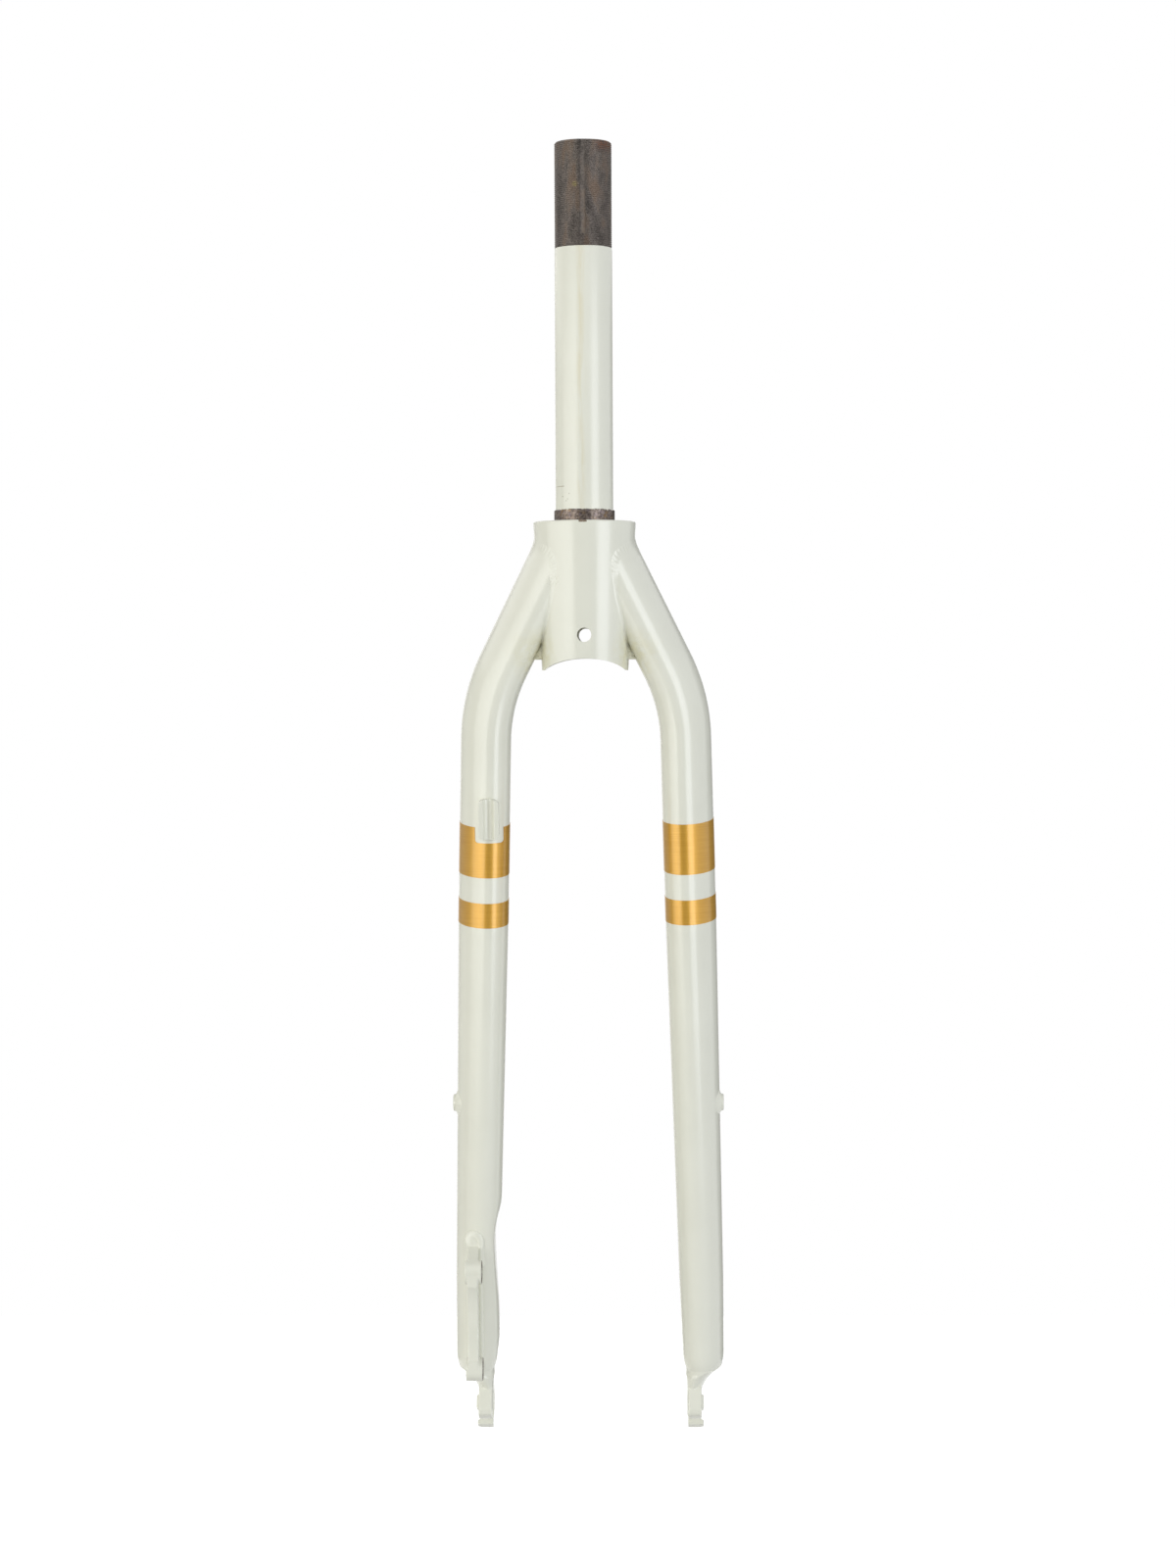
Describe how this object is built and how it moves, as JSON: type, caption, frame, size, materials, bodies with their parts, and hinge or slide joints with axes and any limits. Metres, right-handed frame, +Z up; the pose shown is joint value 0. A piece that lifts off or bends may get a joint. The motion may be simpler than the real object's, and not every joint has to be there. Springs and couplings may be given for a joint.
{
  "type": "rigid bicycle fork",
  "caption": "Rigid steel bicycle fork for a disc brake: threaded steerer, conical crown, bent oval blades, open dropouts and a two-lug brake tab.",
  "frame": {"origin": "on the steerer axis, in the flat top of the crown where the lower headset race sits", "axes": "+Z up the steerer, +Y forwards in the direction of travel, +X to the rider's right"},
  "size_m": [0.1378, 0.088, 0.6525],
  "materials": {
    "steerer": "gloss cream enamel on steel; thread and race seat are bare steel with light rust",
    "cream_enamel": "gloss cream enamel on steel",
    "gold_foil": "satin gold metallic foil"
  },
  "bodies": {
    "root": {"steerer_tube": "steerer", "crown_tube": "cream_enamel", "steerer_weld": "cream_enamel", "right_blade": "cream_enamel", "left_blade": "cream_enamel", "right_crown_weld": "cream_enamel", "left_crown_weld": "cream_enamel", "right_dropout": "cream_enamel", "left_dropout": "cream_enamel", "right_eyelet_boss": "cream_enamel", "left_eyelet_boss": "cream_enamel", "right_eyelet_weld": "cream_enamel", "left_eyelet_weld": "cream_enamel", "disc_brake_tab": "cream_enamel", "disc_tab_inner_weld": "cream_enamel", "disc_tab_outer_weld": "cream_enamel", "hose_guide": "cream_enamel", "right_upper_stripe": "gold_foil", "right_lower_stripe": "gold_foil", "left_upper_stripe": "gold_foil", "left_lower_stripe": "gold_foil"}
  },
  "joints": []
}
